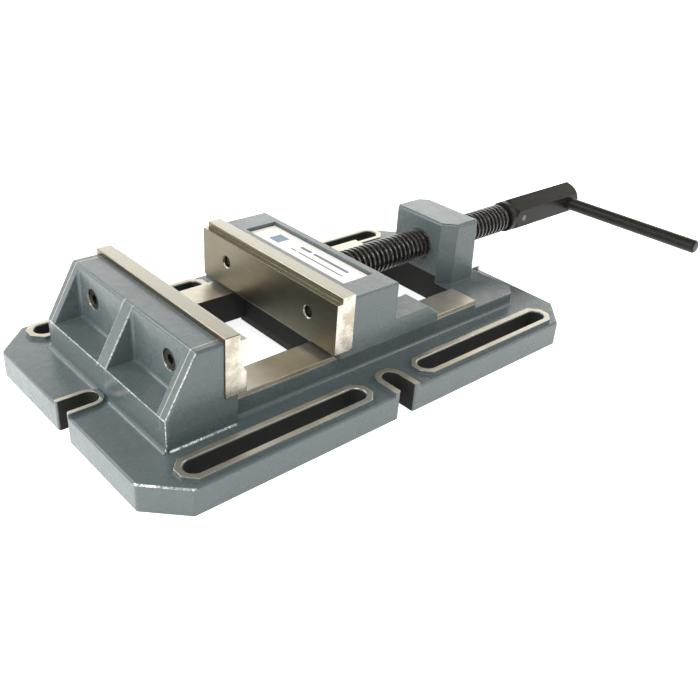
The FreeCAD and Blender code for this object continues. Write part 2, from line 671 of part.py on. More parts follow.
def build_keeper():
    w = KEEPER_HALF_WIDTH
    top = UNDERCUT_TOP - SLIDE_GAP
    plate = box(KEEPER_FRONT_X, KEEPER_REAR_X, -w, w, KEEPER_BOTTOM, top)
    plate = plate.makeFillet(KEEPER_CORNER_ROUND, upright_edges(plate, KEEPER_BOTTOM, top))
    for x in KEEPER_SCREW_X:
        for name, sign in SIDES:
            start = (x, sign * KEEPER_SCREW_Y, KEEPER_BOTTOM - CUT)
            depth = top - KEEPER_BOTTOM + 2 * CUT
            plate = plate.cut(rod_along((0, 0, 1), KEEPER_SCREW_CLEARANCE, start, depth))
            recess = KEEPER_COUNTERBORE_DEPTH + CUT
            plate = plate.cut(rod_along((0, 0, 1), KEEPER_COUNTERBORE_RADIUS, start, recess))
    return plate


def build_keeper_screw(x, sign):
    screw = build_cap_screw(
        KEEPER_SCREW_RADIUS, KEEPER_SCREW_LENGTH, KEEPER_SCREW_HEAD_RADIUS,
        KEEPER_SCREW_HEAD_HEIGHT, KEEPER_SCREW_SOCKET, KEEPER_SCREW_SOCKET_DEPTH)
    screw.rotate(FreeCAD.Vector(0, 0, 0), FreeCAD.Vector(0, 1, 0), -90)
    under_head = KEEPER_BOTTOM + KEEPER_COUNTERBORE_DEPTH - KEEPER_WASHER_THICKNESS
    screw.translate(FreeCAD.Vector(x, sign * KEEPER_SCREW_Y, under_head))
    return screw


def build_keeper_washer(x, sign):
    seat = KEEPER_BOTTOM + KEEPER_COUNTERBORE_DEPTH
    start = (x, sign * KEEPER_SCREW_Y, seat - KEEPER_WASHER_THICKNESS)
    ring = rod_along((0, 0, 1), KEEPER_WASHER_OUTER, start, KEEPER_WASHER_THICKNESS)
    return ring.cut(rod_along((0, 0, 1), KEEPER_SCREW_CLEARANCE, start, KEEPER_WASHER_THICKNESS))


def build_lead_screw():
    flank = 0.5 * (THREAD_PITCH - THREAD_CREST - THREAD_ROOT_WIDTH)
    g0 = GROOVE_CENTRE_X - 0.5 * GROOVE_WIDTH
    g1 = GROOVE_CENTRE_X + 0.5 * GROOVE_WIDTH
    profile = [
        (JOURNAL_START_X, 0.0), (JOURNAL_START_X, JOURNAL_RADIUS - 1.0),
        (JOURNAL_START_X + 1.0, JOURNAL_RADIUS), (g0, JOURNAL_RADIUS), (g0, GROOVE_RADIUS),
        (g1, GROOVE_RADIUS), (g1, JOURNAL_RADIUS), (THREAD_START_X, JOURNAL_RADIUS),
        (THREAD_START_X, THREAD_ROOT_RADIUS + 1.5),
    ]
    x = THREAD_START_X + 1.5
    profile.append((x, THREAD_RADIUS))
    x += THREAD_CREST
    while x + THREAD_PITCH < THREAD_END_X:
        profile.append((x, THREAD_RADIUS))
        profile.append((x + flank, THREAD_ROOT_RADIUS))
        profile.append((x + flank + THREAD_ROOT_WIDTH, THREAD_ROOT_RADIUS))
        profile.append((x + 2 * flank + THREAD_ROOT_WIDTH, THREAD_RADIUS))
        x += THREAD_PITCH
    profile.append((x, THREAD_RADIUS))
    profile.append((x + flank, THREAD_ROOT_RADIUS))
    profile.append((HUB_FRONT_X, THREAD_ROOT_RADIUS))
    profile.append((HUB_FRONT_X, SHANK_RADIUS))
    profile.append((SHANK_END_X - 1.0, SHANK_RADIUS))
    profile.append((SHANK_END_X, SHANK_RADIUS - 1.0))
    profile.append((SHANK_END_X, 0.0))
    screw = turned(profile)
    start = (HUB_PIN_X, -THREAD_RADIUS, SCREW_AXIS_Z)
    return screw.cut(rod_along((0, 1, 0), HUB_PIN_RADIUS, start, 2 * THREAD_RADIUS))


def build_thrust_button():
    start = (BORE_BOTTOM_X, 0, SCREW_AXIS_Z)
    button = rod_along((1, 0, 0), BUTTON_RADIUS, start, BUTTON_THICKNESS)
    return button.makeChamfer(0.5, button.Edges[:1])


def build_thrust_washer():
    start = (MOVABLE_REAR_X, 0, SCREW_AXIS_Z)
    ring = rod_along((1, 0, 0), THRUST_WASHER_OUTER, start, THRUST_WASHER_THICKNESS)
    return ring.cut(rod_along((1, 0, 0), THRUST_WASHER_INNER, start, THRUST_WASHER_THICKNESS))


def build_retainer(sign):
    top = JAW_TOP - LABEL_RECESS - 1.0
    start = (GROOVE_CENTRE_X, sign * RETAINER_Y, top - RETAINER_LENGTH)
    pin = rod_along((0, 0, 1), RETAINER_RADIUS, start, RETAINER_LENGTH)
    ends = [e for e in pin.Edges if e.BoundBox.ZLength < 0.01]
    return pin.makeChamfer(0.4, ends)


def build_hub():
    corner_radius = HUB_ACROSS_FLATS / math.sqrt(3.0)
    e = COLLAR_EDGE_BREAK
    cone = HUB_CONE_LENGTH
    hub = turned([
        (HUB_FRONT_X, 0.0), (HUB_FRONT_X, COLLAR_RADIUS - e), (HUB_FRONT_X + e, COLLAR_RADIUS),
        (COLLAR_END_X, COLLAR_RADIUS), (COLLAR_END_X + cone, corner_radius),
        (HUB_END_X - cone, corner_radius), (HUB_END_X, HUB_END_RADIUS), (HUB_END_X, 0.0),
    ])
    length = HUB_END_X - HUB_FRONT_X + 2 * CUT
    start = (HUB_FRONT_X - CUT, 0, SCREW_AXIS_Z)
    hub = hub.common(hexagon(HUB_ACROSS_FLATS, start, (1, 0, 0), length))
    start = (HUB_FRONT_X - CUT, 0, SCREW_AXIS_Z)
    hub = hub.cut(rod_along((1, 0, 0), SHANK_RADIUS, start, SHANK_END_X - HUB_FRONT_X + CUT))
    reach = corner_radius + CUT
    start = (HUB_PIN_X, -reach, SCREW_AXIS_Z)
    hub = hub.cut(rod_along((0, 1, 0), HUB_PIN_RADIUS, start, 2 * reach))
    start = (ROD_X, -reach, SCREW_AXIS_Z)
    hub = hub.cut(rod_along((0, 1, 0), ROD_RADIUS, start, 2 * reach))
    start = (HUB_END_X + CUT, 0, SCREW_AXIS_Z)
    return hub.cut(rod_along((-1, 0, 0), GRUB_RADIUS, start, HUB_END_X + CUT - ROD_X))


def build_hub_pin():
    start = (HUB_PIN_X, -0.5 * HUB_ACROSS_FLATS, SCREW_AXIS_Z)
    return rod_along((0, 1, 0), HUB_PIN_RADIUS, start, HUB_ACROSS_FLATS)


def build_rod():
    start = (ROD_X, ROD_BACK, SCREW_AXIS_Z)
    bar = rod_along((0, -1, 0), ROD_RADIUS, start, ROD_REACH + ROD_BACK)
    ends = [e for e in bar.Edges if e.BoundBox.YLength < 0.01]
    return bar.makeChamfer(ROD_CHAMFER, ends)


def build_grub():
    start_x = ROD_X + ROD_RADIUS
    length = HUB_END_X - GRUB_RECESS - start_x
    grub = rod_along((1, 0, 0), GRUB_RADIUS, (start_x, 0, SCREW_AXIS_Z), length)
    outer_x = HUB_END_X - GRUB_RECESS
    socket = hexagon(
        GRUB_SOCKET_ACROSS, (outer_x, 0, SCREW_AXIS_Z), (-1, 0, 0), GRUB_SOCKET_DEPTH)
    return grub.cut(socket)


def build_label():
    m = LABEL_MARGIN
    z = JAW_TOP - LABEL_RECESS
    half = LABEL_HALF_LENGTH - m
    return box(LABEL_FRONT_X + m, LABEL_REAR_X - m, -half, half, z, z + LABEL_THICKNESS)


def build_all():
    shapes = {
        "base_casting": build_base(),
        "fixed_jaw_plate": build_fixed_plate(),
        "movable_jaw": build_movable_jaw(),
        "movable_jaw_plate": build_movable_plate(),
        "keeper_plate": build_keeper(),
        "lead_screw": build_lead_screw(),
        "thrust_button": build_thrust_button(),
        "thrust_washer": build_thrust_washer(),
        "crank_hub": build_hub(),
        "hub_pin": build_hub_pin(),
        "crank_rod": build_rod(),
        "rod_grub_screw": build_grub(),
        "name_label": build_label(),
    }
    fixed_seat = FIXED_POCKET_X + FIXED_COUNTERBORE_DEPTH
    movable_seat = MOVABLE_REAR_X - MOVABLE_COUNTERBORE_DEPTH
    for name, sign in SIDES:
        shapes["fixed_plate_screw_" + name] = build_plate_screw(fixed_seat, 1.0, FIXED_SCREW_LENGTH, sign)
        shapes["fixed_lock_washer_" + name] = build_lock_washer(fixed_seat, 1.0, sign)
        shapes["movable_plate_screw_" + name] = build_plate_screw(
            movable_seat, -1.0, MOVABLE_SCREW_LENGTH, sign)
        shapes["movable_lock_washer_" + name] = build_lock_washer(movable_seat, -1.0, sign)
        shapes["retaining_pin_" + name] = build_retainer(sign)
        for end, x in zip(("front", "rear"), KEEPER_SCREW_X):
            shapes["keeper_screw_" + end + "_" + name] = build_keeper_screw(x, sign)
            shapes["keeper_washer_" + end + "_" + name] = build_keeper_washer(x, sign)
    # The crank is left where its rod points a little above level.
    axis_point = FreeCAD.Vector(0, 0, SCREW_AXIS_Z)
    for name in ("lead_screw", "crank_hub", "hub_pin", "crank_rod", "rod_grub_screw"):
        shapes[name].rotate(axis_point, FreeCAD.Vector(1, 0, 0), CRANK_TURN_DEGREES)
    return shapes


os.makedirs("parts", exist_ok=True)
for node_name, node_shape in build_all().items():
    node_shape.exportStep("parts/" + node_name + ".step")
    size = node_shape.BoundBox
    print(node_name, node_shape.isValid(), len(node_shape.Solids), round(node_shape.Volume, 1),
          [round(v, 2) for v in (size.XMin, size.XMax, size.YMin, size.YMax, size.ZMin, size.ZMax)])
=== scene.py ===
import json
import math

import bmesh
import bpy
from mathutils import Matrix, Vector


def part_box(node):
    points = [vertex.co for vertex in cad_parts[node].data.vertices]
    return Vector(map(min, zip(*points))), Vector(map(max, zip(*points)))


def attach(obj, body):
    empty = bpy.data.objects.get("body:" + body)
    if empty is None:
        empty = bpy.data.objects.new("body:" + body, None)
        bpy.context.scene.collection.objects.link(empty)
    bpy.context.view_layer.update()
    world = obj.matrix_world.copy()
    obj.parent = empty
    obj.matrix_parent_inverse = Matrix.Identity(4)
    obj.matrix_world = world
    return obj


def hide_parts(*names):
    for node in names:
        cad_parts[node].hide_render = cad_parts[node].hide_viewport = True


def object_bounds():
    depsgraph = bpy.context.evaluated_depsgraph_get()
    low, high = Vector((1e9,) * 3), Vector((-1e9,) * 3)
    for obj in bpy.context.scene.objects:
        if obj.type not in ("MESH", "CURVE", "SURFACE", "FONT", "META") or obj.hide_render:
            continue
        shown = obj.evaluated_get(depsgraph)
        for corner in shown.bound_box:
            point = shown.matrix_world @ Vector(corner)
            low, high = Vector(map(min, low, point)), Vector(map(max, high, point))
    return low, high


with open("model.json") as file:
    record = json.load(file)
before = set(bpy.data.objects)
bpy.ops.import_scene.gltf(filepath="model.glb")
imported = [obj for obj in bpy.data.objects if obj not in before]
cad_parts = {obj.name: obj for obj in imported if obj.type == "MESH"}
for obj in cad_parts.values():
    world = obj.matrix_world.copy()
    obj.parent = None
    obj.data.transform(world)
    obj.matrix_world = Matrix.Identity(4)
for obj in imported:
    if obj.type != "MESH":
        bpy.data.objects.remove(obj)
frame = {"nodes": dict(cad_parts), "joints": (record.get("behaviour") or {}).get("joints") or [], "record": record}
cad_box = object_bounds()
nodes = frame["nodes"]
joints = {j["name"]: j for j in frame["joints"]}
couplings = frame["record"]["behaviour"]["couplings"]

# Heights and lines that separate machined iron from painted iron, in metres
WAY_TOP = 0.0355
PAD_TOP = 0.0215
STRIP_Y = 0.068
STRIP_BOTTOM = 0.0321
FACE_TOLERANCE = 0.00025

# The well, the four closed slots and the four open ones, whose walls get painted shade
WELL_X = (-0.0982, 0.1182)
WELL_Y = 0.0442
SLOT_CENTRE = (0.094, 0.095)
SLOT_HALF = (0.0677, 0.0067)
OPEN_SLOT_HALF = 0.0069
OPEN_SLOT_SHADE_FROM = (0.156, 0.086)

# The open slots' inner ends on the long axis, whose pads stay painted
PAINTED_PAD_X = 0.158
PAINTED_PAD_REACH = (0.006, 0.012)

# Counterbores of the plate screws, whose walls are bare metal
BORE_PLACE = (0.046, 0.0607)
BORE_RADIUS = 0.0074

# Edges of the fixed jaw and the flange, with painted highlights, partly paint rubbed thin
JAW_FRONT_X = -0.160
JAW_KINK_Z = 0.0407
JAW_CREST = (-0.1385, 0.0782)
JAW_SIDE_Y = 0.074
JAW_FOOT_END_X = -0.112
RIB_Y = 0.0054
FLANGE_TOP = 0.019
CORNER_REACH = 0.2727

# Lead screw
SCREW_Z = joints["screw_turn"]["pos_m"][2]
PITCH = couplings[0]["ratio"] * 2.0 * math.pi
THREAD_RADIUS = 0.0119
ROOT_RADIUS = 0.0093
THREAD_START = 0.0228
THREAD_END = 0.2194
RUN_OUT = 0.0035
THREAD_STEPS = 72
JOURNAL_RADIUS = 0.009
GROOVE_X = (0.0013, 0.0067)
GROOVE_RADIUS = 0.0065
SHANK_START = 0.2208
SHANK_RADIUS = 0.008
END_CHAMFER = 0.001
SHARP_DEGREES = 32.0

# Shares of one pitch, and of the thread's depth
CREST_FROM = 0.13
CREST_TO = 0.50
ROOT_FROM = 0.63
CREST_EASE = 0.024
CREST_DROP = 0.12


# ---------------------------------------------------------------- materials

def colour(r, g, b):
    return (r, g, b, 1.0)


def feed(tree, socket, value):
    """Link the value to the socket where it's another node's output, and set it otherwise."""
    if isinstance(value, bpy.types.NodeSocket):
        tree.links.new(value, socket)
    else:
        socket.default_value = value


def add_node(tree, kind, inputs, **settings):
    """A new shader node with its settings and inputs filled in."""
    made = tree.nodes.new("ShaderNode" + kind)
    for key, value in settings.items():
        setattr(made, key, value)
    for key, value in inputs.items():
        feed(tree, made.inputs[key], value)
    return made


class Finish:
    """One node material and short calls that add nodes to it."""

    def __init__(self, name):
        self.material = bpy.data.materials.new(name)
        self.material.use_nodes = True
        self.tree = self.material.node_tree
        self.tree.nodes.clear()
        output = self.tree.nodes.new("ShaderNodeOutputMaterial")
        self.shader = self.tree.nodes.new("ShaderNodeBsdfPrincipled")
        self.tree.links.new(self.shader.outputs["BSDF"], output.inputs["Surface"])
        place = self.tree.nodes.new("ShaderNodeTexCoord")
        self.place = place.outputs["Object"]
        split = self.node("SeparateXYZ", {0: self.place})
        self.x, self.y, self.z = split.outputs[0], split.outputs[1], split.outputs[2]

    def node(self, kind, inputs, **settings):
        return add_node(self.tree, kind, inputs, **settings)

    def set(self, name, value):
        feed(self.tree, self.shader.inputs[name], value)

    def calc(self, operation, a, b=0.0, c=0.0):
        return self.node("Math", {0: a, 1: b, 2: c}, operation=operation).outputs[0]

    def stretch(self, scale):
        return self.node("Mapping", {"Vector": self.place, "Scale": scale}).outputs[0]

    def noise(self, scale, detail=3.0, roughness=0.5, vector=None):
        inputs = {"Vector": vector or self.place, "Scale": scale}
        inputs["Detail"] = detail
        inputs["Roughness"] = roughness
        return self.node("TexNoise", inputs).outputs[0]

    def spread(self, value, low, high, to_low=0.0, to_high=1.0):
        inputs = {"Value": value, "From Min": low, "From Max": high}
        inputs["To Min"] = to_low
        inputs["To Max"] = to_high
        return self.node("MapRange", inputs).outputs[0]

    def blend(self, share, a, b):
        return self.node("Mix", {0: share, 2: a, 3: b}).outputs[0]

    def tint(self, share, a, b):
        return self.node("Mix", {0: share, 6: a, 7: b}, data_type="RGBA").outputs[2]

    def near(self, value, centre, reach):
        return self.calc("COMPARE", value, centre, reach)

    def both(self, first, *others):
        for other in others:
            first = self.calc("MULTIPLY", first, other)
        return first

    def either(self, first, *others):
        for other in others:
            first = self.calc("MAXIMUM", first, other)
        return first

    def facing(self, axis):
        """How far the flat face turns towards the given axis, 1 when square to it."""
        normal = self.node("NewGeometry", {}).outputs["True Normal"]
        return self.calc("ABSOLUTE", self.node("SeparateXYZ", {0: normal}).outputs[axis])

    def rounded(self, radius):
        return self.node("Bevel", {"Radius": radius}, samples=6).outputs[0]

    def edges(self, rounded, low, high):
        """1 on edges that the rounded normal turns away from the flat one, 0 elsewhere."""
        flat = self.node("NewGeometry", {}).outputs["Normal"]
        dot = self.node("VectorMath", {0: rounded, 1: flat}, operation="DOT_PRODUCT")
        turned = self.calc("SUBTRACT", 1.0, dot.outputs["Value"])
        return self.spread(turned, low, high)

    def bump(self, height, strength, distance, normal=None):
        inputs = {"Height": height, "Strength": strength, "Distance": distance}
        if normal is not None:
            inputs["Normal"] = normal
        return self.node("Bump", inputs).outputs[0]


def ground_iron(f):
    """Where the base is ground bare: the ways' tops and outer sides, and the slot pads' tops."""
    tops = f.either(f.near(f.z, WAY_TOP, FACE_TOLERANCE), f.near(f.z, PAD_TOP, FACE_TOLERANCE))
    tops = f.both(tops, f.calc("GREATER_THAN", f.facing(2), 0.6))
    x = f.calc("ABSOLUTE", f.x)
    slot_end = f.both(f.near(x, PAINTED_PAD_X, PAINTED_PAD_REACH[0]), f.near(f.y, 0.0, PAINTED_PAD_REACH[1]))
    tops = f.both(tops, f.calc("SUBTRACT", 1.0, slot_end))
    sides = f.near(f.calc("ABSOLUTE", f.y), STRIP_Y, FACE_TOLERANCE)
    return f.either(tops, f.both(sides, f.calc("GREATER_THAN", f.z, STRIP_BOTTOM)))


def bare_bores(f):
    """Counterbore walls round the plate screws."""
    across = f.calc("SUBTRACT", f.calc("ABSOLUTE", f.y), BORE_PLACE[0])
    up = f.calc("SUBTRACT", f.z, BORE_PLACE[1])
    reach = f.calc("SQRT", f.calc("ADD", f.both(across, across), f.both(up, up)))
    return f.both(f.calc("LESS_THAN", reach, BORE_RADIUS), f.calc("LESS_THAN", f.facing(0), 0.7))


def edge_wear_and_highlights(f):
    """Painted highlights, partly worn paint, on the edges of the fixed jaw, its middle rib and foot, and the
    flange's cut corners.

    Each is a band about a millimetre wide, set in from the sharp edge by the edge's rounding.
    """
    y = f.calc("ABSOLUTE", f.y)
    lean = Vector((JAW_CREST[0] - JAW_FRONT_X, JAW_CREST[1] - JAW_KINK_Z)).normalized()
    forward = f.calc("SUBTRACT", f.x, JAW_FRONT_X)
    above = f.calc("SUBTRACT", f.z, JAW_KINK_Z)
    slope = f.calc("SUBTRACT", f.both(forward, lean.y), f.both(above, lean.x))
    skin = f.calc("MINIMUM", f.calc("ABSOLUTE", slope), f.calc("ABSOLUTE", forward))
    corner = f.both(f.near(y, JAW_SIDE_Y - 0.0004, 0.0007), f.calc("LESS_THAN", skin, 0.0006), 0.7)
    sill = f.both(f.near(f.z, JAW_KINK_Z, 0.0004), f.near(f.x, JAW_FRONT_X, 0.0006), 0.6)
    rib = f.both(f.near(y, RIB_Y - 0.0003, 0.0005), f.near(slope, 0.0003, 0.0006), 0.5)
    jaw = f.both(f.either(corner, rib, sill), f.calc("GREATER_THAN", f.z, FLANGE_TOP))
    jaw = f.both(jaw, f.calc("LESS_THAN", f.x, JAW_CREST[0] + 0.002))
    foot = f.both(f.near(y, JAW_SIDE_Y + 0.0006, 0.0006), f.near(f.z, FLANGE_TOP + 0.0006, 0.0006))
    foot = f.both(foot, f.calc("LESS_THAN", f.x, JAW_FOOT_END_X))
    corners = f.calc("GREATER_THAN", f.calc("ADD", f.calc("ABSOLUTE", f.x), y), CORNER_REACH)
    corners = f.both(corners, f.near(f.z, FLANGE_TOP - 0.0006, 0.0005))
    return f.either(jaw, foot, corners)


def unlit_walls(f):
    """Upright walls of the well and of the bolt slots, where shade is painted in as a near-black colour."""
    x = f.calc("ABSOLUTE", f.x)
    y = f.calc("ABSOLUTE", f.y)
    middle = 0.5 * (WELL_X[0] + WELL_X[1])
    well = f.both(f.near(f.x, middle, WELL_X[1] - middle), f.near(f.y, 0.0, WELL_Y))
    well = f.both(well, f.calc("LESS_THAN", f.z, WAY_TOP - FACE_TOLERANCE))
    closed = f.both(f.near(x, SLOT_CENTRE[0], SLOT_HALF[0]), f.near(y, SLOT_CENTRE[1], SLOT_HALF[1]))
    ends = f.both(f.near(f.y, 0.0, OPEN_SLOT_HALF), f.calc("GREATER_THAN", x, OPEN_SLOT_SHADE_FROM[0]))
    sides = f.both(f.near(f.x, 0.0, OPEN_SLOT_HALF), f.calc("GREATER_THAN", y, OPEN_SLOT_SHADE_FROM[1]))
    slots_in = f.both(f.either(closed, ends, sides), f.calc("LESS_THAN", f.z, PAD_TOP - FACE_TOLERANCE))
    return f.both(f.either(well, slots_in), f.calc("LESS_THAN", f.facing(2), 0.5))


def enamel(name, base):
    """Blue-grey enamel over sand-cast iron, near black as painted shade on the base's well and slot walls and
    below the way top on other parts; the base also has ground faces.
    """
    f = Finish(name)
    patches = f.noise(9.0, 4.0, 0.6)
    speckle = f.noise(700.0, 2.0, 0.6)
    paint = f.tint(f.spread(patches, 0.3, 0.7), colour(0.064, 0.084, 0.088), colour(0.076, 0.097, 0.101))
    paint = f.tint(f.spread(speckle, 0.5, 0.8, 0.0, 0.22), paint, colour(0.16, 0.18, 0.18))
    rounded = f.rounded(0.0008)
    # Light edge bands: painted highlights on rounded edges, partly worn paint.
    wear = f.both(f.edges(rounded, 0.12, 0.40), 0.30)
    if base:
        wear = f.either(wear, edge_wear_and_highlights(f))
    wear = f.both(wear, f.spread(f.noise(780.0, 3.0, 0.7), 0.42, 0.52, 0.10, 1.0))
    wear = f.both(wear, f.spread(f.noise(45.0, 3.0, 0.6), 0.38, 0.60, 0.35, 1.0))
    paint = f.tint(wear, paint, colour(0.80, 0.82, 0.80))
    gloss = f.spread(f.noise(40.0, 5.0, 0.65), 0.3, 0.7, 0.20, 0.34)
    swell = f.noise(130.0, 2.0, 0.5)
    grain = f.noise(640.0, 2.0, 0.5)
    relief = f.bump(swell, 0.26, 0.0006, rounded)
    relief = f.bump(grain, 0.34, 0.00030, relief)
    # Painted shade: the dark mask marks the base's well and slot walls, and on other parts everything below the
    # way top.
    if base:
        dark = unlit_walls(f)
        ground = f.either(ground_iron(f), bare_bores(f))
    else:
        dark = f.calc("LESS_THAN", f.z, WAY_TOP)
        ground = bare_bores(f)
    # Painted shade: near-black colour where the dark mask is set.
    paint = f.tint(dark, paint, colour(0.003, 0.003, 0.0025))
    gloss = f.blend(dark, gloss, 0.85)
    lines = f.noise(60.0, 6.0, 0.7, f.stretch((1.0, 26.0, 1.0)))
    stain = f.noise(24.0, 4.0, 0.6)
    iron = f.tint(f.spread(lines, 0.3, 0.7), colour(0.44, 0.41, 0.34), colour(0.60, 0.57, 0.49))
    iron = f.tint(f.spread(stain, 0.42, 0.72, 0.0, 0.7), iron, colour(0.30, 0.25, 0.17))
    paint = f.tint(ground, paint, iron)
    f.set("Metallic", f.both(ground, 0.9))
    gloss = f.blend(ground, gloss, f.spread(lines, 0.3, 0.7, 0.28, 0.44))
    cut = f.bump(lines, 0.14, 0.0001, rounded)
    relief = f.node("Mix", {0: ground, 4: relief, 5: cut}, data_type="VECTOR").outputs[1]
    f.set("Base Color", paint)
    f.set("Roughness", gloss)
    f.set("Normal", relief)
    return f.material


def ground_steel(name):
    """Ground jaw plate: fine lines along its length, and painted reflection: light ends, duller tops and dark
    bronze on its two broad faces.
    """
    f = Finish(name)
    lines = f.noise(90.0, 6.0, 0.7, f.stretch((6.0, 0.35, 14.0)))
    cloud = f.noise(18.0, 4.0, 0.6)
    broad = f.spread(f.facing(0), 0.5, 0.9)
    rounded = f.rounded(0.0004)
    top = f.spread(f.facing(2), 0.5, 0.9)
    ends_sheen_and_smudge = f.tint(f.spread(lines, 0.25, 0.75), colour(0.44, 0.42, 0.37), colour(0.62, 0.60, 0.54))
    smudge = f.spread(f.noise(55.0, 4.0, 0.7), 0.46, 0.60, 0.0, 0.75)
    ends_sheen_and_smudge = f.tint(smudge, ends_sheen_and_smudge, colour(0.30, 0.26, 0.19))
    tops_painted_sheen = f.tint(f.spread(lines, 0.25, 0.75), colour(0.215, 0.205, 0.17), colour(0.285, 0.275, 0.235))
    # Painted reflection: dark bronze tone on the two broad faces.
    bronze = f.tint(f.spread(lines, 0.25, 0.75), colour(0.125, 0.112, 0.078), colour(0.180, 0.165, 0.118))
    bronze = f.tint(f.spread(cloud, 0.4, 0.75, 0.0, 0.6), bronze, colour(0.10, 0.088, 0.060))
    f.set("Base Color", f.tint(broad, f.tint(top, ends_sheen_and_smudge, tops_painted_sheen), bronze))
    f.set("Metallic", 1.0)
    smooth = f.spread(lines, 0.25, 0.75, 0.18, 0.30)
    f.set("Roughness", f.blend(broad, smooth, f.spread(lines, 0.25, 0.75, 0.28, 0.42)))
    f.set("Normal", f.bump(lines, 0.16, 0.00012, rounded))
    return f.material


def black_steel(name, low, high, shine_low, shine_high, grease):
    """Blackened steel with streaks, and films of grease where asked."""
    f = Finish(name)
    streak = f.noise(45.0, 6.0, 0.65, f.stretch((1.0, 9.0, 9.0)))
    pits = f.noise(700.0, 2.0, 0.5)
    rounded = f.rounded(0.0005)
    wear = f.edges(rounded, 0.08, 0.40)
    wear = f.both(wear, f.spread(f.noise(210.0, 3.0, 0.6), 0.4, 0.65, 0.0, 0.5))
    dark = f.tint(f.spread(streak, 0.3, 0.7), low, high)
    dark = f.tint(wear, dark, colour(0.30, 0.29, 0.27))
    gloss = f.spread(streak, 0.3, 0.7, shine_low, shine_high)
    if grease:
        film = f.spread(f.noise(150.0, 4.0, 0.6), 0.50, 0.60)
        dark = f.tint(f.both(film, 0.06), dark, colour(0.30, 0.28, 0.25))
        gloss = f.blend(film, gloss, 0.07)
    f.set("Base Color", dark)
    f.set("Specular IOR Level", 0.55 if grease else 0.15)
    f.set("Roughness", gloss)
    if grease:
        rounded = f.bump(f.noise(330.0, 3.0, 0.6), 0.55, 0.0005, rounded)
    f.set("Normal", f.bump(pits, 0.15, 0.00015, rounded))
    return f.material


def bright_metal(name, low, high, shine):
    """Small turned or spring pieces: washers, pins, the bronze thrust washer."""
    f = Finish(name)
    rings = f.noise(260.0, 4.0, 0.6)
    f.set("Base Color", f.tint(f.spread(rings, 0.3, 0.7), low, high))
    f.set("Metallic", 1.0)
    f.set("Roughness", f.spread(rings, 0.3, 0.7, shine, shine + 0.15))
    f.set("Normal", f.bump(rings, 0.10, 0.0001, f.rounded(0.0002)))
    return f.material


def label_print(name, low, high):
    """Off-white film with plain grey bars and one plain blue block."""
    f = Finish(name)
    width = high.x - low.x
    length = high.y - low.y
    u = f.spread(f.x, low.x, high.x)
    v = f.spread(f.y, low.y, high.y)
    fibre = f.noise(900.0, 2.0, 0.5)
    film = f.tint(f.spread(fibre, 0.3, 0.7), colour(0.72, 0.70, 0.64), colour(0.80, 0.78, 0.72))
    bars = [
        (0.66, 0.055, 0.30, 0.17), (0.66, 0.055, 0.55, 0.055),
        (0.38, 0.03, 0.33, 0.22), (0.38, 0.03, 0.60, 0.03),
    ]
    ink = 0.0
    for across, half_across, along, half_along in bars:
        ink = f.either(ink, f.both(f.near(u, across, half_across), f.near(v, along, half_along)))
    block = f.both(f.near(u, 0.52, 0.22), f.near(v, 0.80, 0.22 * width / length))
    film = f.tint(ink, film, colour(0.085, 0.09, 0.10))
    film = f.tint(block, film, colour(0.10, 0.17, 0.24))
    f.set("Base Color", film)
    f.set("Roughness", f.spread(fibre, 0.3, 0.7, 0.34, 0.46))
    f.set("Normal", f.bump(fibre, 0.05, 0.00005))
    return f.material


slots = {
    "blue_grey_enamel": enamel("blue_grey_enamel_cast", False),
    "ground_steel": ground_steel("ground_steel_plate"),
    "oiled_black_steel": black_steel(
        "oiled_black_steel_screw", colour(0.007, 0.007, 0.006), colour(0.022, 0.021, 0.018), 0.16, 0.32, True),
    "black_oxide_steel": black_steel(
        "black_oxide_steel_crank", colour(0.006, 0.006, 0.005), colour(0.018, 0.017, 0.014), 0.26, 0.44, False),
    "spring_steel": bright_metal("spring_steel_small", colour(0.42, 0.42, 0.42), colour(0.58, 0.58, 0.57), 0.25),
    "bronze": bright_metal("bronze_thrust", colour(0.52, 0.34, 0.15), colour(0.66, 0.45, 0.22), 0.28),
    "label_film": label_print("label_film_print", *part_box("name_label")),
}
finishes = {
    "base_casting": enamel("blue_grey_enamel_base", True),
    # Keeper plate: near-black painted shade in place of its ground steel.
    "keeper_plate": black_steel(
        "keeper_painted_shade", colour(0.010, 0.009, 0.007), colour(0.03, 0.027, 0.022), 0.4, 0.6, False),
    "hub_pin": bright_metal("hub_pin_end", colour(0.09, 0.085, 0.075), colour(0.16, 0.15, 0.13), 0.3),
}

for name, node in nodes.items():
    finish = finishes.get(name) or slots[node.data.materials[0].name.split(".")[0]]
    node.data.materials.clear()
    node.data.materials.append(finish)


# ---------------------------------------------------------------- lead screw

def finished(mesh, name):
    """A new object from a bmesh, with shared points merged and faces turned outward."""
    bmesh.ops.remove_doubles(mesh, verts=mesh.verts, dist=1e-6)
    bmesh.ops.dissolve_degenerate(mesh, dist=1e-6, edges=mesh.edges)
    bmesh.ops.recalc_face_normals(mesh, faces=mesh.faces)
    data = bpy.data.meshes.new(name)
    mesh.to_mesh(data)
    mesh.free()
    made = bpy.data.objects.new(name, data)
    bpy.context.scene.collection.objects.link(made)
    return made


def thread_height(x):
    """Share of the full thread height at x, fading to nothing at both ends."""
    inside = min(x - THREAD_START, THREAD_END - x)
    return max(0.0, min(1.0, inside / RUN_OUT))


def round_profile(mesh, profile):
    """Turn (x, radius) points round the screw's axis."""
    rings = []
    for x, r in profile:
        ring = []
        for step in range(THREAD_STEPS):
            angle = 2.0 * math.pi * step / THREAD_STEPS
            ring.append(mesh.verts.new((x, r * math.cos(angle), SCREW_Z + r * math.sin(angle))))
        rings.append(ring)
    for first, second in zip(rings, rings[1:]):
        for step in range(THREAD_STEPS):
            after = (step + 1) % THREAD_STEPS
            mesh.faces.new((first[step], first[after], second[after], second[step]))


